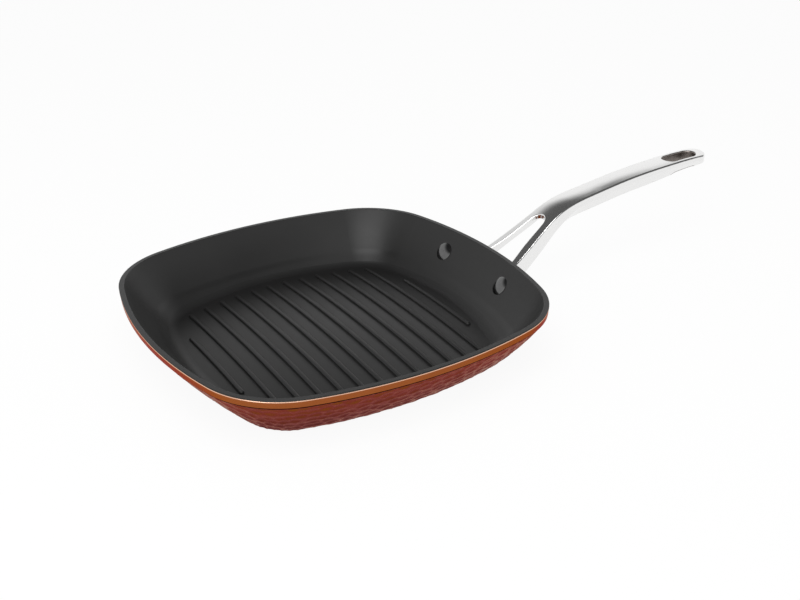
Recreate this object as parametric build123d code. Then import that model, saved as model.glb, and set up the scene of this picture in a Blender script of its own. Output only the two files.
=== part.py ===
from build123d import *
import math
import os

# A square grill pan with a forked cast handle.
# The origin is the centre of the underside, +X points along the handle and +Z up.
# Sizes are in millimetres.

# Rim outline: a rounded square whose sides bow out a little
rim_half = 140.0
rim_side_radius = 320.0
rim_corner_radius = 66.0
rim_width = 3.8
rim_edge_drop = 0.6
rim_edge_round = 0.5

# Outer wall
pan_height = 43.0
base_half = 107.5
base_round = 5.0
base_step = 0.6
outer_bow = 1.2
band_height = 4.8
band_taper = 0.4
groove_height = 1.2
groove_depth = 0.7
band_step = 1.4
copper_thickness = 0.9

# Cooking floor
lining_thickness = 0.5
inner_bow = 2.5
floor_half = 107.5
floor_edge_height = 6.9
crown_rise = 4.5
crown_reach = 100.0
floor_round = 11.0

# Grill ridges
ridge_count = 14
ridge_pitch = 14.1
ridge_width = 3.6
ridge_height = 2.0
ridge_top_round = 1.3
ridge_end_round = 1.6
ridge_end_margin = 14.0
short_ridge_half = 46.0

# Steel disc set flush in the underside
disc_diameter = 180.0
disc_thickness = 1.2

# Rivets
rivet_spacing = 76.0
rivet_height = 27.5
rivet_head_diameter = 14.6
rivet_head_height = 1.8
rivet_head_sink = 0.3
rivet_shank_diameter = 6.4
rivet_tail_diameter = 11.0
rivet_tail_height = 2.6
rivet_tail_sink = 0.2

# Handle feet
foot_thickness = 3.2
foot_low = 14.0
foot_high = 33.0
foot_round = 8.0
foot_inner = 21.0
foot_outer = 49.0

# Handle casting: each station is a reach out from the rim, the half width and the
# height above the rim at the top edge, the height and the outward lean of the side,
# and the half width and the depth of the keel
handle_stations = [
    (-22.0, 27.0, -17.5, 12.5, 4.6, 28.5, 13.8),
    (-9.0, 25.0, -17.0, 12.3, 4.5, 26.5, 13.6),
    (0.0, 23.2, -16.0, 12.0, 4.4, 24.6, 13.3),
    (10.0, 21.2, -12.8, 11.8, 4.2, 22.5, 13.0),
    (20.0, 19.1, -7.6, 11.5, 4.1, 20.4, 12.7),
    (33.0, 16.5, 0.3, 11.0, 4.0, 17.6, 12.2),
    (45.0, 14.2, 7.8, 10.4, 3.4, 14.8, 11.9),
    (55.0, 12.9, 14.0, 9.4, 2.5, 12.4, 12.0),
    (66.0, 12.3, 19.4, 8.0, 1.4, 9.0, 13.0),
    (78.0, 12.0, 22.9, 5.6, 0.5, 6.4, 14.0),
    (98.0, 11.5, 26.2, 4.8, 0.3, 6.0, 14.2),
    (125.0, 11.2, 30.2, 4.2, 0.3, 6.0, 14.0),
    (155.0, 11.2, 33.4, 3.6, 0.3, 6.0, 13.6),
    (182.0, 11.3, 35.1, 3.2, 0.3, 6.0, 12.0),
    (205.0, 11.3, 35.9, 3.0, 0.3, 6.2, 9.8),
    (226.0, 11.3, 36.3, 2.8, 0.3, 6.4, 8.2),
]
handle_reach = 222.7
handle_tip_round = 11.6
handle_tip_depth = 10.4
handle_tip_top_round = 2.6
handle_tip_low_round = 4.0
handle_crown = 1.0
handle_edge_round = 2.2
handle_low_round = 0.8
channel_wall = 2.6
channel_top = 2.5
channel_reach = 70.0

# Gap between the fork arms: round at its far end, then widening towards the pan
# through points given as a reach out from the rim and a half width
fork_gap_end_reach = 46.4
fork_gap_end_round = 7.0
fork_gap_lean = 11.5
fork_gap_side = [(27.0, 10.6), (18.0, 13.2), (0.0, 18.6), (-16.0, 22.4)]
fork_gap_edge_round = 0.8

# Hanging hole
hanging_length = 33.0
hanging_width = 14.0
hanging_reach = 197.0
hanging_edge_round = 1.2

os.makedirs("parts", exist_ok=True)


def bowed_wall(top, bottom, bow):
    """The centre and radius of the arc from top to bottom that swells outward by bow."""
    chord = bottom - top
    radius = (chord.length ** 2 / 4 + bow ** 2) / (2 * bow)
    inward = Vector(chord.Y, -chord.X).normalized()
    return (top + bottom) / 2 + inward * (radius - bow), radius


def on_arc(arc, height):
    """How far out the arc is at a height."""
    centre, radius = arc
    return centre.X + math.sqrt(radius ** 2 - (height - centre.Y) ** 2)


def moved_arc(arc, low, high, outward):
    """The stretch of the arc between two heights, moved outward by a thickness."""
    centre, radius = arc
    moved = (centre, radius + outward)
    middle = (low + high) / 2
    return ThreePointArc(
        (on_arc(moved, low), low),
        (on_arc(moved, middle), middle),
        (on_arc(moved, high), high),
    )


rim_low = pan_height - rim_edge_drop
band_low = rim_low - band_height
wall_high = band_low - groove_height
outer_wall = bowed_wall(
    Vector(rim_half - band_step, wall_high), Vector(base_half, base_step), outer_bow
)
inner_wall = bowed_wall(
    Vector(rim_half - rim_width, pan_height), Vector(floor_half, floor_edge_height), inner_bow
)
core_half = floor_half - floor_round - 20.0
corner_turn = math.acos(
    (rim_side_radius - rim_half) / (rim_side_radius - rim_corner_radius) / math.sqrt(2)
) - math.radians(45)
corner_at = (rim_side_radius - rim_corner_radius) * math.sin(corner_turn)


def outline(inset):
    """The eight arcs of the plan outline, moved in from the rim by inset."""
    side_at = rim_half - rim_side_radius
    turn = math.degrees(corner_turn)
    arcs = []
    for quarter in range(4):
        face = 90 * quarter
        side_centre = Vector(side_at, 0).rotate(Axis.Z, face)
        corner_centre = Vector(corner_at, corner_at).rotate(Axis.Z, face)
        side = rim_side_radius - inset
        corner = rim_corner_radius - inset
        arcs.append(CenterArc(side_centre, side, face - turn, 2 * turn))
        arcs.append(CenterArc(corner_centre, corner, face + turn, 90 - 2 * turn))
    return Wire(arcs)


def around(section):
    """A section of the wall, drawn as distance from the middle and height, carried round."""
    path = outline(0)
    start = path @ 0
    out = Vector(1, 0).rotate(Axis.Z, -math.degrees(corner_turn))
    across = Plane(origin=start, x_dir=out, z_dir=out.cross(Vector(0, 0, 1)))
    return sweep(across * Pos(-rim_half, 0) * section, path=path)


def closed(lines):
    """The face inside a closed chain of lines."""
    return make_face([edge for line in lines for edge in line.edges()])


def filled(lines):
    """The solid inside a chain of wall lines that runs from low to high."""
    low = lines[0] @ 0
    high = lines[-1] @ 1
    inner = core_half - 1.0
    rest = Polyline((high.X, high.Y), (inner, high.Y), (inner, low.Y), (low.X, low.Y))
    ring = around(closed(lines + [rest]))
    core = Pos(0, 0, low.Y) * extrude(make_face(outline(rim_half - core_half)), high.Y - low.Y)
    return ring + core


def skin(inward):
    """The lines of the outside from the underside to the rim, moved inward."""
    centre, radius = outer_wall
    level = base_step + base_round
    rise = level - centre.Y
    foot = Vector(centre.X + math.sqrt((radius - base_round) ** 2 - rise ** 2), level)
    lean = (foot - centre).normalized()
    small = base_round - inward
    start = foot + Vector(0, -small)
    middle = foot + (lean + Vector(0, -1)).normalized() * small
    end = foot + lean * small
    corner = ThreePointArc(start, middle, end)
    wall = moved_arc(outer_wall, end.Y, wall_high, -inward)
    groove_x = rim_half - band_step - groove_depth - inward
    band = Polyline(
        wall @ 1,
        (groove_x, (wall_high + band_low) / 2),
        (rim_half - band_taper - inward, band_low + inward * band_step / 2),
        (rim_half - inward, rim_low),
    )
    return [corner, wall, band]


def crown_ball(rise):
    """The ball whose top is the crowned cooking floor, raised by rise."""
    radius = (crown_reach ** 2 + crown_rise ** 2) / (2 * crown_rise)
    top = floor_edge_height + crown_rise
    return Pos(0, 0, top - radius) * Sphere(radius + rise)


def floor_reach(x):
    """How far the floor's outline reaches in Y at a distance x from the middle."""
    inset = rim_half - floor_half
    if abs(x) > corner_at:
        corner = rim_corner_radius - inset
        return corner_at + math.sqrt(corner ** 2 - (abs(x) - corner_at) ** 2)
    side = rim_side_radius - inset
    return math.sqrt(side ** 2 - x ** 2) - (rim_side_radius - rim_half)


def ridges(grow):
    """The raised ridges, with their sides and tops moved out by grow."""
    bars = []
    for place in range(ridge_count):
        x = ridge_pitch * (place - (ridge_count - 1) / 2)
        half = floor_reach(x) - ridge_end_margin
        if place in (0, ridge_count - 1):
            half = short_ridge_half
        width = ridge_width + 2 * grow
        plan = RectangleRounded(width, 2 * (half + grow), ridge_end_round + grow)
        bar = Pos(x, 0, 0) * extrude(plan, pan_height) & crown_ball(ridge_height + grow)
        top = bar.faces().sort_by(Axis.Z)[-1]
        bars.append(fillet(top.edges(), ridge_top_round + grow))
    return bars


def hollow(grow):
    """The space inside the pan, with its wall and floor moved out by grow."""
    low = floor_edge_height - 8.0
    high = pan_height + 1.0
    wall = moved_arc(inner_wall, low, high, grow)
    space = filled([wall]) - crown_ball(-grow)
    floor = space.faces().filter_by(GeomType.SPHERE).sort_by(Axis.Z)[0]
    space = fillet(floor.edges(), floor_round + grow)
    return space - ridges(-grow)


def normal_at(arc, height):
    """The direction out of the wall at a height, in the wall's own section."""
    centre, radius = arc
    return (Vector(on_arc(arc, height), height) - centre) / radius


def reach_to(start, way, arc, outward):
    """How far from start, along way, the arc moved outward lies."""
    centre, radius = arc
    offset = start - centre
    along = offset.dot(way)
    return math.sqrt(along ** 2 + (radius + outward) ** 2 - offset.length ** 2) - along


rivet_seat = Vector(on_arc(inner_wall, rivet_height), rivet_height)
rivet_way = normal_at(inner_wall, rivet_height)
rivet_stack = reach_to(rivet_seat, rivet_way, outer_wall, foot_thickness)


def button(diameter, height):
    """A disc with a short straight edge and a domed top, standing on its own plane."""
    edge = height / 3
    crown = height - edge
    ball = (diameter ** 2 / 4 + crown ** 2) / (2 * crown)
    stem = Cylinder(diameter / 2, height, align=(Align.CENTER, Align.CENTER, Align.MIN))
    return stem & Pos(0, 0, height - ball) * Sphere(ball)


def rivet(side):
    """A rivet through the wall and a foot: head inside, shank, and set tail outside."""
    head = button(rivet_head_diameter, rivet_head_height + rivet_head_sink)
    head = Pos(0, 0, rivet_head_sink) * Rot(180, 0, 0) * head
    tail = button(rivet_tail_diameter, rivet_tail_height + rivet_tail_sink)
    tail = Pos(0, 0, rivet_stack - rivet_tail_sink) * tail
    shank = Cylinder(
        rivet_shank_diameter / 2, rivet_stack, align=(Align.CENTER, Align.CENTER, Align.MIN)
    )
    centre = Vector(rim_half - rim_side_radius, 0, 0)
    from_centre = rivet_seat.X - centre.X
    swing = math.degrees(math.asin(side * rivet_spacing / 2 / from_centre))
    seat = centre + Vector(from_centre, 0, rivet_seat.Y).rotate(Axis.Z, swing)
    way = Vector(rivet_way.X, 0, rivet_way.Y).rotate(Axis.Z, swing)
    return Plane(origin=seat, z_dir=way) * (head + shank + tail)


def section(station):
    """The outline of the handle casting at one station."""
    reach, half, height, side, lean, keel, depth = station
    top = pan_height + height
    crown = ThreePointArc((-half, top), (0, top + handle_crown), (half, top))
    rest = Polyline(
        (half, top),
        (half + lean, top - side),
        (keel, top - depth),
        (-keel, top - depth),
        (-half - lean, top - side),
        (-half, top),
    )
    face = closed([crown, rest])
    high = face.vertices().group_by(Axis.Y)[-1]
    face = fillet(high, handle_edge_round)
    low = [corner for corner in face.vertices() if corner.Y < top - side + 0.001]
    face = fillet(low, handle_low_round)
    return Pos(rim_half + reach, 0, 0) * (Plane.YZ * face)


def channel_section(station):
    """The open underside of the fork at one station."""
    reach, half, height, side, lean, keel, depth = station
    top = pan_height + height - channel_top
    drop = 2 * side
    inner = half - channel_wall
    outer = inner + lean * drop / side
    face = make_face(Polyline((-inner, top), (inner, top), (outer, top - drop), (-outer, top - drop), close=True))
    return Pos(rim_half + reach, 0, 0) * (Plane.YZ * face)


def gap_plan():
    """The plan of the gap between the arms, round at its far end."""
    centre = Vector(rim_half + fork_gap_end_reach, 0)
    lean = math.radians(fork_gap_lean)
    start = centre + Vector(math.sin(lean), math.cos(lean)) * fork_gap_end_round
    points = [start] + [Vector(rim_half + reach, half) for reach, half in fork_gap_side]
    last_way = points[-1] - points[-2]
    left = Spline(*points, tangents=[(-math.cos(lean), math.sin(lean)), last_way])
    right = mirror(left, Plane.XZ)
    end = ThreePointArc(left @ 0, centre + Vector(fork_gap_end_round, 0), right @ 0)
    return closed([left, end, right, Line(right @ 1, left @ 1)])


def feet():
    """The two flanges that lie on the outer wall at the roots of the arms."""
    centre = rim_half - rim_side_radius
    pivot = Axis((centre, 0, 0), (0, 0, 1))
    wall = moved_arc(outer_wall, foot_low, foot_high, 0)
    face = moved_arc(outer_wall, foot_low, foot_high, foot_thickness)
    band = closed([wall, face, Line(wall @ 0, face @ 0), Line(wall @ 1, face @ 1)])
    swing = math.degrees(math.asin((foot_outer + foot_round) / (base_half - centre)))
    sheet = revolve(Plane.XZ * band, pivot, 2 * swing).rotate(pivot, -swing)
    width = foot_outer - foot_inner
    shape = RectangleRounded(width, foot_high - foot_low, foot_round)
    pads = []
    for side in (1, -1):
        middle = side * (foot_outer + foot_inner) / 2
        at = Pos(0, middle, (foot_high + foot_low) / 2)
        pads.append(sheet & at * extrude(Plane.YZ * shape, rim_half + foot_round))
    return pads


def tip_waste(top):
    """What the round end of the handle, whose highest point is top, leaves away."""
    corner_x = rim_half + handle_reach - handle_tip_round
    block = Pos(corner_x, 0, top) * Box(
        2 * handle_tip_round,
        4 * handle_tip_round,
        4 * handle_tip_depth,
        align=(Align.MIN, Align.CENTER, Align.CENTER),
    )
    barrel = Cylinder(
        handle_tip_round, handle_tip_depth, align=(Align.CENTER, Align.CENTER, Align.MAX)
    )
    barrel = fillet(barrel.edges().group_by(Axis.Z)[-1], handle_tip_top_round)
    barrel = fillet(barrel.edges().group_by(Axis.Z)[0], handle_tip_low_round)
    return block - Pos(corner_x, 0, top) * barrel


def lies_within(edge, low_x, high_x, half_width):
    """Whether an edge lies in a strip of the plan."""
    box = edge.bounding_box()
    slack = 0.01
    along = low_x - slack < box.min.X and box.max.X < high_x + slack
    return along and box.max.Y < half_width + slack and box.min.Y > -half_width - slack


def hole_edges(solid):
    """The edges of the hanging hole on the top of the handle."""
    low_x = rim_half + hanging_reach - hanging_length / 2
    level = solid.bounding_box().max.Z - handle_tip_depth / 3
    return [
        edge
        for edge in solid.edges()
        if lies_within(edge, low_x, low_x + hanging_length, hanging_width / 2)
        and edge.bounding_box().min.Z > level
    ]


def gap_edges(solid):
    """The edges of the gap between the arms on the top of the handle."""
    end_x = rim_half + fork_gap_end_reach + fork_gap_end_round
    low_x = rim_half + fork_gap_side[-1][0]
    sides = [
        edge
        for edge in solid.edges()
        if lies_within(edge, low_x, end_x, fork_gap_side[-1][1])
        and edge.bounding_box().size.X > fork_gap_edge_round
    ]
    crotch = [edge for edge in sides if abs(edge.center().Y) < fork_gap_edge_round]
    highest = max(crotch, key=lambda edge: edge.center().Z)
    return [edge for edge in sides if edge not in crotch] + [highest]


def handle():
    """The forked casting with its open underside, gap, hanging hole and feet."""
    casting = loft([section(station) for station in handle_stations])
    top = casting.bounding_box().max.Z
    casting = casting - tip_waste(top)

    hole = SlotOverall(hanging_length, hanging_width)
    casting = casting - Pos(rim_half + hanging_reach, 0, 0) * extrude(hole, top)
    casting = fillet(hole_edges(casting), hanging_edge_round)

    casting = casting - extrude(gap_plan(), top)
    casting = fillet(gap_edges(casting), fork_gap_edge_round)

    forked = [station for station in handle_stations if station[0] < channel_reach]
    casting = casting - loft([channel_section(station) for station in forked])
    root = Box(rim_half, rim_half, foot_low, align=(Align.MIN, Align.CENTER, Align.MIN))
    return casting - root + feet() - filled(skin(0))



def lining(space):
    """The black lining of the wall and floor, with its cap over the rim."""
    cap_section = Polyline(
        (rim_half, rim_low),
        (rim_half, pan_height),
        (core_half, pan_height),
        (core_half, rim_low),
        close=True,
    )
    below_rim = Box(
        3 * rim_half, 3 * rim_half, pan_height, align=(Align.CENTER, Align.CENTER, Align.MIN)
    )
    coat = (space & below_rim) + around(closed([cap_section])) - hollow(0)
    return fillet(coat.edges().group_by(Axis.Z)[-1], rim_edge_round)


def copper():
    """The copper-coloured outside: a smooth band, a groove and the sloping wall."""
    front = skin(0)
    back = skin(copper_thickness)
    foot_end = Line(front[0] @ 0, back[0] @ 0)
    rim_end = Line(front[-1] @ 1, back[-1] @ 1)
    return around(closed(front + back + [foot_end, rim_end]))


def pan_body(space):
    """The cast body between the lining and the copper, with its machined underside."""
    back = skin(copper_thickness)
    edge = back[0] @ 0
    return filled([Line((edge.X, 0), edge)] + back) - space


lining_space = hollow(lining_thickness)
disc = Cylinder(disc_diameter / 2, disc_thickness, align=(Align.CENTER, Align.CENTER, Align.MIN))
rivets = {"rivet_left": rivet(1), "rivet_right": rivet(-1)}
pierced = {
    "pan_body": pan_body(lining_space) - disc,
    "nonstick_lining": lining(lining_space),
    "copper_exterior": copper(),
    "handle": handle(),
}
nodes = {name: solid - list(rivets.values()) for name, solid in pierced.items()}
nodes.update(rivets)
nodes["induction_disc"] = disc

for name, solid in nodes.items():
    export_step(solid, f"parts/{name}.step")
    print(name, "solids", len(solid.solids()), "volume", round(solid.volume))
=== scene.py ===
# %% [markdown]
# A square grill pan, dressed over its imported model.
# The real pan is cast aluminium with a black nonstick inside, a copper-coloured
# hammered outside and a forked handle of polished cast steel.
# The solids already have their true shapes and places, so this lesson gives each one a
# finish, and makes one new mesh: the hammered copper wall, whose dents are real geometry.

# %% Load the frame and keep its box
import bpy
import math
import numpy as np
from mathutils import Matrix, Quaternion, Vector


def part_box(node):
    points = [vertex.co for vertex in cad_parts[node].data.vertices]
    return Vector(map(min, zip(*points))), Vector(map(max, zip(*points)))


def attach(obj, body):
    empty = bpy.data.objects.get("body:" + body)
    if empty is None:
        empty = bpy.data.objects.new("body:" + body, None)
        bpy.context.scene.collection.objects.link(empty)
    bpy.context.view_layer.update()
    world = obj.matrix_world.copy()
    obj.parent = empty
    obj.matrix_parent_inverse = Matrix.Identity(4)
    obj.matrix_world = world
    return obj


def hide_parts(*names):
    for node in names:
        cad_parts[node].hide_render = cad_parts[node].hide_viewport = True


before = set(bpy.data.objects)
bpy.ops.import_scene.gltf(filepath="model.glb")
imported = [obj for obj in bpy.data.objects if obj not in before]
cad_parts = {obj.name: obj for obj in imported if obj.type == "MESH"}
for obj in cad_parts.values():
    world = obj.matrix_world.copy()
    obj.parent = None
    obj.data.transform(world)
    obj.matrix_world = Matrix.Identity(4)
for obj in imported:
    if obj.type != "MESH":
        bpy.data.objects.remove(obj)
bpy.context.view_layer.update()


# %% [markdown]
# The camera comes first, because every later choice is judged through it.
# A normal lens at arm's length shows the pan as a cook sees it, from the front left and
# from above. It is set by where it aims, how far away it stands, its two angles and a
# slight roll, because those are the values that one would change to find a view.

# %% Camera
lens_mm = 50.0
sensor_mm = 36.0
aim_point = Vector((0.0326, -0.0447, 0.043))
aim_distance = 0.7838
camera_azimuth = math.radians(-31.0)
camera_elevation = math.radians(26.38)
camera_roll = math.radians(-0.76)

towards_camera = Vector((
    math.sin(camera_azimuth) * math.cos(camera_elevation),
    -math.cos(camera_azimuth) * math.cos(camera_elevation),
    math.sin(camera_elevation),
))
camera_data = bpy.data.cameras.new("camera")
camera_data.lens = lens_mm
camera_data.sensor_width = sensor_mm
camera = bpy.data.objects.new("camera", camera_data)
bpy.context.scene.collection.objects.link(camera)
camera.location = aim_point + towards_camera * aim_distance
level_view = (-towards_camera).to_track_quat("-Z", "Y")
camera.rotation_mode = "QUATERNION"
camera.rotation_quaternion = level_view @ Quaternion((0, 0, 1), camera_roll)
bpy.context.scene.camera = camera
print("camera at", [round(value, 4) for value in camera.location])

# %% [markdown]
# Every finish is a small network of shader nodes. Wiring them by hand is slow to read,
# so one class wraps a socket and lets plain arithmetic add the Math nodes. A second
# one holds a node tree and makes any other node from its type, settings and inputs.

# %% A wire that does arithmetic
class Wire:
    """One output socket. Arithmetic on it adds Math nodes."""

    def __init__(self, sheet, socket):
        self.sheet = sheet
        self.socket = socket

    def math(self, operation, first, second):
        return self.sheet.node("ShaderNodeMath", {"operation": operation}, {0: first, 1: second})

    def __add__(self, other):
        return self.math("ADD", self, other)

    __radd__ = __add__

    def __sub__(self, other):
        return self.math("SUBTRACT", self, other)

    def __rsub__(self, other):
        return self.math("SUBTRACT", other, self)

    def __mul__(self, other):
        return self.math("MULTIPLY", self, other)

    __rmul__ = __mul__

    def __abs__(self):
        return self.math("ABSOLUTE", self, 0.0)

    def above(self, other):
        """The larger of this value and another."""
        return self.math("MAXIMUM", self, other)


print("wires ready")

# %% A sheet of nodes
class Sheet:
    """A node tree that makes its nodes from a type, settings and inputs."""

    def __init__(self, tree):
        self.tree = tree
        self.tree.nodes.clear()

    def put(self, socket, value):
        if isinstance(value, Wire):
            self.tree.links.new(value.socket, socket)
        else:
            socket.default_value = value

    def node(self, kind, settings=None, sockets=None, output=0):
        made = self.tree.nodes.new(kind)
        for name, value in (settings or {}).items():
            setattr(made, name, value)
        for name, value in (sockets or {}).items():
            self.put(made.inputs[name], value)
        return Wire(self, made.outputs[output])

    def parts(self, wire, names):
        """Named outputs of the node that a wire comes from."""
        return [Wire(self, wire.socket.node.outputs[name]) for name in names]

    def end(self, kind, shader):
        """The output node of the tree, fed by a shader."""
        out = self.tree.nodes.new(kind)
        self.tree.links.new(shader.socket, out.inputs["Surface"])

    def blend(self, amount, first, second):
        """A colour that goes from first to second."""
        return self.node(
            "ShaderNodeMix", {"data_type": "RGBA"}, {0: amount, 6: first, 7: second}, output=2
        )

    def ramp(self, value, low, high):
        """A value that rises from 0 to 1 between low and high."""
        return self.node(
            "ShaderNodeMapRange",
            {"interpolation_type": "SMOOTHSTEP"},
            {"Value": value, "From Min": low, "From Max": high},
        )

    def noise(self, where, scale, detail=2.0):
        """Soft noise with features of about one over scale."""
        return self.node(
            "ShaderNodeTexNoise", None, {"Vector": where, "Scale": scale, "Detail": detail}
        )


def grey(value):
    """A neutral colour."""
    return (value, value, value, 1.0)


print("sheets ready")

# %% A finish for one slot
class Finish(Sheet):
    """A material for one slot, with its principled shader."""

    def __init__(self, name):
        self.material = bpy.data.materials.new(name)
        self.material.use_nodes = True
        super().__init__(self.material.node_tree)
        self.here = self.node("ShaderNodeTexCoord", output="Object")

    def axes(self):
        """The three coordinates of the shaded point."""
        split = self.node("ShaderNodeSeparateXYZ", None, {0: self.here})
        return self.parts(split, ("X", "Y", "Z"))

    def length(self, x, y):
        """How far a point of the plane lies from its origin."""
        spot = self.node("ShaderNodeCombineXYZ", None, {0: x, 1: y})
        return self.node("ShaderNodeVectorMath", {"operation": "LENGTH"}, {0: spot}, output=1)

    def bump(self, height, depth):
        """A normal from a height between 0 and 1 and its depth in metres."""
        return self.node("ShaderNodeBump", None, {"Height": height, "Distance": depth})

    def surface(self, **sockets):
        """The principled shader. base_color=... sets the socket Base Color."""
        named = {
            name.replace("_", " ").title().replace("Ior", "IOR"): value
            for name, value in sockets.items()
        }
        self.end("ShaderNodeOutputMaterial", self.node("ShaderNodeBsdfPrincipled", None, named))
        return self.material


print("finishes ready")

# %% [markdown]
# The inside and the top of the rim are coated with satin black nonstick. It is nearly
# black, but not mirror smooth: a fine grain breaks its gloss, and cooking and washing
# leave it a little uneven. The tops of the ridges are rubbed smoother than the floor
# between them, because food and tools slide over them, so the gloss follows the height.

# %% Nonstick finish
ridge_foot = 0.0105
ridge_crest = 0.0135
over_ridges = (0.0145, 0.016)


def nonstick_finish():
    finish = Finish("nonstick_black")
    z = finish.axes()[2]
    grain = finish.noise(finish.here, 1400.0)
    cloud = finish.noise(finish.here, 22.0, 4.0)
    scuff = finish.noise(finish.here, 160.0, 3.0)
    rubbed = finish.ramp(z, ridge_foot, ridge_crest) * (1 - finish.ramp(z, *over_ridges))
    return finish.surface(
        base_color=finish.blend(cloud, grey(0.0095), (0.0135, 0.0132, 0.013, 1.0)),
        roughness=0.36 + 0.05 * cloud + 0.05 * scuff - 0.07 * rubbed,
        specular_ior_level=0.34,
        normal=finish.bump(grain, 0.000006),
    )


nonstick = nonstick_finish()
print("made", nonstick.name)

# %% [markdown]
# The outside carries a copper-coloured metallic coat. It is even on the smooth band,
# with painted shade in the groove below it, and painted shade that darkens the wall
# towards its foot. A painted highlight makes the top edge of the band paler, and a fine
# bump gives it sparkle. The heights of these places set the colours, so the finish fits the
# shape.
# The wall's colours are written deeper than those of a copper coat, because the wall
# mirrors a white floor here.

# %% Copper finish
# Painted shade darkens the wall towards its foot, over these heights.
painted_shade_rise = (0.0, 0.038)
groove_foot = (0.0361, 0.0364)
groove_head = (0.0374, 0.0377)
band_foot = (0.0368, 0.0374)
# The top edge of the band gets a painted highlight between these heights.
band_painted_highlight = (0.0415, 0.0419)


def copper_finish():
    finish = Finish("copper_coat")
    z = finish.axes()[2]
    patch = finish.noise(finish.here, 60.0, 3.0)
    fine = finish.noise(finish.here, 900.0)
    foot_painted_shade = finish.blend(patch, (0.065, 0.018, 0.001, 1.0), (0.090, 0.026, 0.001, 1.0))
    warm = finish.blend(patch, (0.160, 0.048, 0.002, 1.0), (0.205, 0.066, 0.003, 1.0))
    even = finish.blend(patch, (0.27, 0.075, 0.020, 1.0), (0.31, 0.090, 0.025, 1.0))
    # Painted shade: the wall's colour goes darker towards its foot.
    wall = finish.blend(finish.ramp(z, *painted_shade_rise), foot_painted_shade, warm)
    # Painted highlight: the band turns pale pinkish along its top edge.
    band = finish.blend(finish.ramp(z, *band_painted_highlight), even, (0.80, 0.50, 0.36, 1.0))
    coat = finish.blend(finish.ramp(z, *band_foot), wall, band)
    # Painted shade: the groove under the band is coloured nearly black.
    groove_painted_shade = finish.ramp(z, *groove_foot) * (1 - finish.ramp(z, *groove_head))
    return finish.surface(
        base_color=finish.blend(groove_painted_shade, coat, (0.06, 0.014, 0.005, 1.0)),
        metallic=0.80,
        roughness=0.21 + 0.06 * patch,
        specular_tint=(0.62, 0.20, 0.07, 1.0),
        normal=finish.bump(fine, 0.000005),
    )


copper = copper_finish()
print("made", copper.name)

# %% [markdown]
# The handle is cast stainless steel, polished by hand on a wheel. Such a surface is
# bright but never a perfect mirror: it keeps hair-fine marks along its length, which
# soften its reflections. The wall of the hanging hole gets painted shade: a dark
# brown-grey colour, with a rougher gloss and a bump. The distance from the slot's
# middle line tells the two apart.

# %% Polished steel
slot_middle = 0.337
slot_straight = 0.0095
slot_radius = 0.0070
slot_fade = (0.0002, 0.0009)
hair_scale = (60.0, 1500.0, 1500.0)


def polished_finish():
    finish = Finish("polished_steel")
    x, y = finish.axes()[:2]
    past_end = (abs(x - slot_middle) - slot_straight).above(0.0)
    from_slot = finish.length(past_end, y)
    # The mask of the hanging hole, where shade is painted and the gloss is rougher.
    hole_shade_mask = 1 - finish.ramp(from_slot, slot_radius + slot_fade[0], slot_radius + slot_fade[1])
    along = finish.node("ShaderNodeMapping", None, {"Vector": finish.here, "Scale": hair_scale})
    hairs = finish.noise(along, 1.0, 3.0)
    skin = finish.noise(finish.here, 500.0, 3.0)
    steel = finish.blend(hairs, grey(0.80), (0.86, 0.855, 0.845, 1.0))
    # Painted shade: the dark brown-grey colour of the hole's wall.
    hole_shade_colour = finish.blend(skin, (0.10, 0.085, 0.078, 1.0), (0.30, 0.27, 0.25, 1.0))
    return finish.surface(
        base_color=finish.blend(hole_shade_mask, steel, hole_shade_colour),
        metallic=1.0,
        roughness=0.13 + 0.05 * hairs + 0.20 * hole_shade_mask,
        normal=finish.bump(skin * hole_shade_mask, 0.00006),
    )


polished = polished_finish()
print("made", polished.name)

# %% [markdown]
# The underside is turned on a lathe, so that it lies flat on a hob. The tool leaves
# fine rings about the pan's centre, on the aluminium and on the steel disc, so the
# noise is read along the radius alone. The rivets are dark metal with a soft shine.

# %% Turned metal and rivets
def turned_finish(name, tint_low, tint_high, rings):
    """Metal turned on a lathe: fine rings about the pan's centre."""
    finish = Finish(name)
    x, y = finish.axes()[:2]
    turned = finish.node("ShaderNodeCombineXYZ", None, {0: finish.length(x, y) * rings})
    groove = finish.noise(turned, 1.0, 3.0)
    return finish.surface(
        base_color=finish.blend(groove, tint_low, tint_high),
        metallic=1.0,
        roughness=0.24 + 0.12 * groove,
        normal=finish.bump(groove, 0.00004),
    )


def rivet_finish():
    finish = Finish("rivet_black")
    cloud = finish.noise(finish.here, 300.0, 3.0)
    return finish.surface(
        base_color=finish.blend(cloud, grey(0.10), grey(0.15)),
        metallic=1.0,
        roughness=0.10 + 0.06 * cloud,
    )


cast_body = turned_finish("machined_aluminium", grey(0.52), grey(0.66), 1600.0)
disc_steel = turned_finish("turned_steel", grey(0.46), grey(0.62), 2400.0)
rivet_black = rivet_finish()
print("made", cast_body.name, disc_steel.name, rivet_black.name)

# %% [markdown]
# A solid whose shape is right stays as it is and only gets its finish, through the
# material slots that it came with. Only the copper skin gets a new mesh, further on.

# %% Give each solid its finish
finishes = {
    "pan_body": cast_body,
    "nonstick_lining": nonstick,
    "induction_disc": disc_steel,
    "handle": polished,
    "rivet_left": rivet_black,
    "rivet_right": rivet_black,
}
for node, finish in finishes.items():
    piece = bpy.data.objects[node]
    for slot in piece.material_slots:
        slot.material = finish
    print(node, "slots", len(piece.material_slots))

# %% [markdown]
# The hammered wall is the one shape that the solids leave plain. On the real pan it is
# covered in shallow dents, wider than they are high, with sharp ridges between them.
# A bump would look flat at the outline, so the wall is a new mesh: the section of the
# skin is carried round the rounded square, and each point is pushed in by the dents.
# The sizes below are those of the solid skin, so the new one fits in its place.

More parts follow.
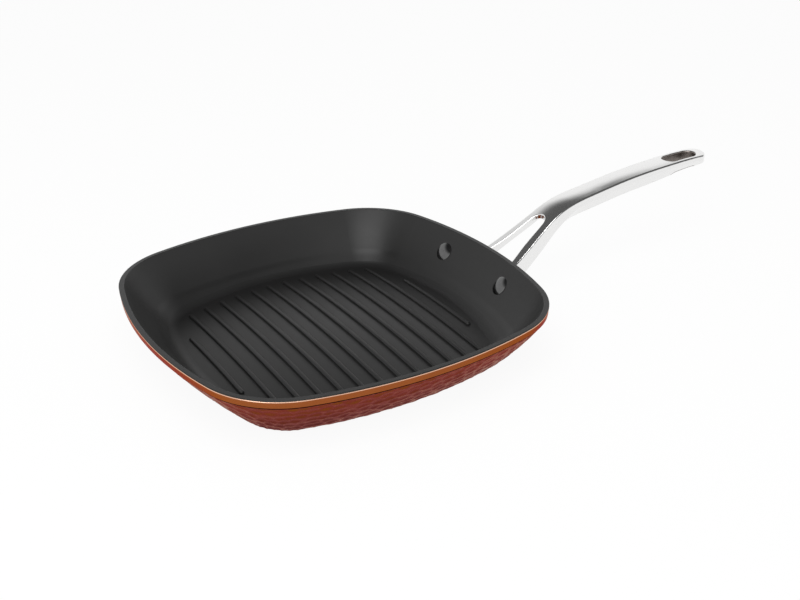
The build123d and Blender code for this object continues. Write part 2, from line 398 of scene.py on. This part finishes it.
# %% The outline and the section of the skin, in metres
rim_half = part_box("copper_exterior")[1][0]
rim_side_radius = 0.320
rim_corner_radius = 0.066
copper_thickness = 0.0009
copper_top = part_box("copper_exterior")[1][2]
copper_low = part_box("copper_exterior")[0][2]
band_height = 0.0048
band_taper = 0.0004
groove_height = 0.0012
groove_depth = 0.0007
band_step = 0.0014
band_edge = 0.0006
base_half = 0.1075
base_round = 0.005
outer_bow = 0.0012

band_low = copper_top - band_height
wall_high = band_low - groove_height
chord_start = Vector((rim_half - band_step, wall_high))
chord_end = Vector((base_half, copper_low))
chord = chord_end - chord_start
wall_radius = (chord.length ** 2 / 4 + outer_bow ** 2) / (2 * outer_bow)
wall_centre = (chord_start + chord_end) / 2 + Vector((chord.y, -chord.x)).normalized() * (
    wall_radius - outer_bow
)
print("wall radius", round(wall_radius, 4), "centre", wall_centre)

# %% [markdown]
# The section runs from the rim down: a rounded edge, the band, the groove, the bowed
# wall and the round at the foot. Each point also says how strongly the dents act on
# it, so that they fade out at the groove and at the foot, as hammer marks do there.

# %% Points down the section, from the rim to the underside
edge_sag = 0.13
tuck_behind_groove = 1.4
fade_in_steps = 3
fade_out_rest = 2


def section_points(inward, wall_steps, corner_steps):
    """The section of the skin from the rim down, moved inward, and its dent strength."""
    groove_x = rim_half - band_step - groove_depth - inward
    points = [
        (rim_half - band_edge - inward, copper_top, 0.0),
        (rim_half - band_edge / 2 - inward, copper_top - band_edge * edge_sag, 0.0),
        (rim_half - band_edge * edge_sag - inward, copper_top - band_edge / 2, 0.0),
        (rim_half - inward, copper_top - band_edge, 0.0),
        (rim_half - band_taper / 2 - inward, copper_top - band_height / 2, 0.0),
        (rim_half - band_taper - inward, band_low + inward * tuck_behind_groove, 0.0),
        (groove_x, (wall_high + band_low) / 2, 0.0),
    ]
    foot_level = copper_low + base_round
    reach = math.sqrt((wall_radius - base_round) ** 2 - (foot_level - wall_centre.y) ** 2)
    foot = Vector((wall_centre.x + reach, foot_level))
    lean = (foot - wall_centre).normalized()
    radius = wall_radius - inward
    low_angle = math.atan2(lean.y, lean.x)
    high_angle = math.asin((wall_high - wall_centre.y) / radius)
    for step in range(wall_steps + 1):
        angle = high_angle + (low_angle - high_angle) * step / wall_steps
        spot = wall_centre + Vector((math.cos(angle), math.sin(angle))) * radius
        points.append((spot.x, spot.y, min(1.0, step / fade_in_steps)))
    small = base_round - inward
    for step in range(1, corner_steps + 1):
        angle = low_angle + (-math.pi / 2 - low_angle) * step / corner_steps
        spot = foot + Vector((math.cos(angle), math.sin(angle))) * small
        strength = max(0.0, 1 - step / (corner_steps - fade_out_rest))
        points.append((spot.x, spot.y, strength))
    return np.array(points)


front_section = section_points(0.0, 78, 8)
back_section = section_points(copper_thickness, 10, 4)
print("section points", len(front_section), "lowest", front_section[:, 1].min())

# %% [markdown]
# The rounded square is four long arcs and four tight ones. Stations are set along them
# at an even step. Each one keeps the centre and the direction of its arc, so a point of
# the section can be moved straight in or out there, as a true offset of the outline.

# %% Directions round the outline
corner_turn = math.acos(
    (rim_side_radius - rim_half) / (rim_side_radius - rim_corner_radius) / math.sqrt(2)
) - math.pi / 4
corner_at = (rim_side_radius - rim_corner_radius) * math.sin(corner_turn)
round_step = 0.0008


def outline_stations():
    """Centres, directions and base radii of the stations round the rounded square."""
    centres, ways, radii = [], [], []
    for quarter in range(4):
        face = quarter * math.pi / 2
        side_centre = (rim_half - rim_side_radius, 0.0)
        corner_centre = (corner_at, corner_at)
        arcs = (
            (side_centre, rim_side_radius, -corner_turn, corner_turn),
            (corner_centre, rim_corner_radius, corner_turn, math.pi / 2 - corner_turn),
        )
        for centre, radius, start, end in arcs:
            count = round((end - start) * radius / round_step)
            for step in range(count):
                angle = start + (end - start) * step / count + face
                turn_x = centre[0] * math.cos(face) - centre[1] * math.sin(face)
                turn_y = centre[0] * math.sin(face) + centre[1] * math.cos(face)
                centres.append((turn_x, turn_y))
                ways.append((math.cos(angle), math.sin(angle)))
                radii.append(radius - rim_half)
    return np.array(centres), np.array(ways), np.array(radii)


centres, ways, radii = outline_stations()
station_count = len(centres)
print("stations round the pan", station_count)

# %% [markdown]
# Each dent is a shallow dish about a seed on a jittered grid, tilted a little, since no
# two blows fall alike. Where dishes meet, the deeper one wins, which leaves sharp low
# ridges between them, as a hammer does. The draws are seeded, so every run is the same.

# %% Seeds of the dents
dent_width = 0.0086
dent_height = 0.0076
dent_depth = 0.00078
dent_jitter = 0.30
dent_spread = 0.31
wall_share_of_rim = 0.9
rng = np.random.default_rng(7)

wall_length = np.concatenate(
    [[0], np.cumsum(np.hypot(np.diff(front_section[:, 0]), np.diff(front_section[:, 1])))]
)
columns = round(station_count * round_step * wall_share_of_rim / dent_width)
rows = int(wall_length[-1] / dent_height) + 3
seed_across = rng.uniform(-dent_jitter, dent_jitter, (columns, rows))
seed_down = rng.uniform(-dent_jitter, dent_jitter, (columns, rows))
seed_push = rng.uniform(0.60, 0.95, (columns, rows))
seed_tilt = rng.uniform(-0.40, 0.40, (columns, rows, 2))
print("dents", columns, "round and up to", rows, "down")

# %% How far in the dishes push
def dent_field(across, down):
    """How far in the dishes push, from 0 to 1, at grid coordinates."""
    push = np.zeros(across.shape)
    for step_across in (-1, 0, 1):
        for step_down in (-1, 0, 1):
            column = np.floor(across).astype(int) + step_across
            row = np.clip(np.floor(down).astype(int) + step_down, 0, rows - 1)
            wrapped = column % columns
            shift = 0.5 * (row % 2)
            away_x = across - (column + 0.5 + shift + seed_across[wrapped, row])
            away_y = down - (row + 0.5 + seed_down[wrapped, row])
            distance = away_x ** 2 + away_y ** 2
            tilt = seed_tilt[wrapped, row, 0] * away_x + seed_tilt[wrapped, row, 1] * away_y
            depth = seed_push[wrapped, row] * (1 - distance / dent_spread) + tilt
            push = np.maximum(push, depth)
    return np.clip(push, 0.0, 1.0)


around_grid = np.arange(station_count)[:, None] * columns / station_count
down_grid = wall_length[None, :] / dent_height + 0.5
dents = dent_field(
    np.broadcast_to(around_grid, (station_count, len(wall_length))),
    np.broadcast_to(down_grid, (station_count, len(wall_length))),
)
dents = dents * front_section[None, :, 2]
print("deepest dent mm", round(float(dents.max()) * dent_depth * 1000, 3))

# %% [markdown]
# The outer face carries the dents and the inner one is plain. They are joined at the
# rim and at the foot into one closed skin. The wall shades smoothly, and only the real
# corners, such as those of the groove, are marked sharp.

# %% Carry the section round
def carried_round(section, pushed):
    """The section's points at every station, each pushed in by its dent."""
    slopes = np.gradient(section[:, :2], axis=0)
    slopes = slopes / np.linalg.norm(slopes, axis=1)[:, None]
    push_in = np.stack([slopes[:, 1], -slopes[:, 0]], axis=1)
    out = section[None, :, 0] + push_in[None, :, 0] * pushed
    up = section[None, :, 1] + push_in[None, :, 1] * pushed
    reach = radii[:, None] + out
    x = centres[:, 0:1] + ways[:, 0:1] * reach
    y = centres[:, 1:2] + ways[:, 1:2] * reach
    return np.stack([x, y, up + 0 * x], axis=2)


front = carried_round(front_section, dents * dent_depth)
back = carried_round(back_section, np.zeros((station_count, len(back_section))))[:, ::-1]
ring = np.concatenate([front, back], axis=1)
print("points in one ring", ring.shape[1])

# %% Build the hammered skin as one closed mesh
sharp_angle = math.radians(36)
ring_count = ring.shape[1]
faces = []
for station in range(station_count):
    after = (station + 1) % station_count
    for spot in range(ring_count):
        beside = (spot + 1) % ring_count
        faces.append((
            station * ring_count + spot,
            station * ring_count + beside,
            after * ring_count + beside,
            after * ring_count + spot,
        ))
skin_mesh = bpy.data.meshes.new("hammered_copper")
skin_mesh.from_pydata(ring.reshape(-1, 3).tolist(), [], faces)
skin_mesh.polygons.foreach_set("use_smooth", [True] * len(skin_mesh.polygons))
skin_mesh.set_sharp_from_angle(angle=sharp_angle)
skin_mesh.update()
hammered = bpy.data.objects.new("hammered_copper", skin_mesh)
bpy.context.scene.collection.objects.link(hammered)
skin_mesh.materials.append(copper)
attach(hammered, "root")
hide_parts("copper_exterior")
print("hammered skin faces", len(faces))

# %% [markdown]
# The studio is a white sweep under plain soft light. What the view meets is pure white,
# and so is what polished metal mirrors: the floor and the walls of the sweep, which
# only darken towards the ceiling, as a room does above its lamps. Nothing of the sweep
# is brighter than white, other rays meet an even grey, and the floor keeps the shadow
# of the pan.

# %% The world
even_light = 0.60
ceiling_light = 0.10
ceiling_from = 0.50
ceiling_full = 0.72


def background_rays(sheet):
    """Rays of the view, and rays that a gloss or a clear material sends out."""
    seen, glossy, clear = sheet.parts(
        sheet.node("ShaderNodeLightPath"),
        ("Is Camera Ray", "Is Glossy Ray", "Is Transmission Ray"),
    )
    return seen, glossy.above(clear)


def studio_world():
    world = bpy.data.worlds.new("studio")
    bpy.context.scene.world = world
    world.use_nodes = True
    sheet = Sheet(world.node_tree)
    way = sheet.node("ShaderNodeTexCoord", output="Generated")
    up = sheet.parts(sheet.node("ShaderNodeSeparateXYZ", None, {0: way}), ("Z",))[0]
    seen, mirrored = background_rays(sheet)
    ceiling = sheet.ramp(up, ceiling_from, ceiling_full)
    sweep = sheet.blend(ceiling, grey(1.0), grey(ceiling_light))
    soft = sheet.blend(mirrored, grey(even_light), sweep)
    shown = sheet.blend(seen, soft, grey(1.0))
    sheet.end(
        "ShaderNodeOutputWorld",
        sheet.node("ShaderNodeBackground", None, {"Color": shown, "Strength": 1.0}),
    )


studio_world()
print("world ready")

# %% [markdown]
# The floor is matte and pale. A share of white is mixed in for the rays that show the
# background, so that it meets the sweep without a seam. The rest stays matte, because
# that is what takes the shadow.

# %% The floor
floor_size = 12.0
white_share = 0.93


def studio_floor():
    bpy.ops.mesh.primitive_plane_add(size=floor_size, location=(0, 0, 0))
    floor = bpy.context.object
    floor.name = "floor"
    finish = Finish("floor_white")
    seen, mirrored = background_rays(finish)
    matte = finish.node("ShaderNodeBsdfDiffuse", None, {"Color": grey(0.8)})
    white = finish.node("ShaderNodeEmission", None, {"Color": grey(1.0), "Strength": 1.0})
    share = seen.above(mirrored) * white_share
    finish.end(
        "ShaderNodeOutputMaterial",
        finish.node("ShaderNodeMixShader", None, {0: share, 1: matte, 2: white}),
    )
    floor.data.materials.append(finish.material)


studio_floor()
print("floor ready")

# %% [markdown]
# Two soft boxes do the rest: a large one high above the camera, and a small one low on
# the left. They are wide, so that shadows stay soft.

# %% The lamps
def soft_light(name, place, size, power):
    """A square soft box that faces the pan."""
    data = bpy.data.lights.new(name, "AREA")
    data.shape = "SQUARE"
    data.size = size
    data.energy = power
    lamp = bpy.data.objects.new(name, data)
    bpy.context.scene.collection.objects.link(lamp)
    lamp.location = place
    lamp.rotation_euler = (Vector(place) * -1).to_track_quat("-Z", "Y").to_euler()


soft_light("overhead", (-0.42, -0.52, 1.12), 1.0, 12.0)
soft_light("left", (-1.3, -0.75, 0.45), 0.6, 5.0)
bpy.context.scene.view_settings.view_transform = "Standard"
print("lamps ready")
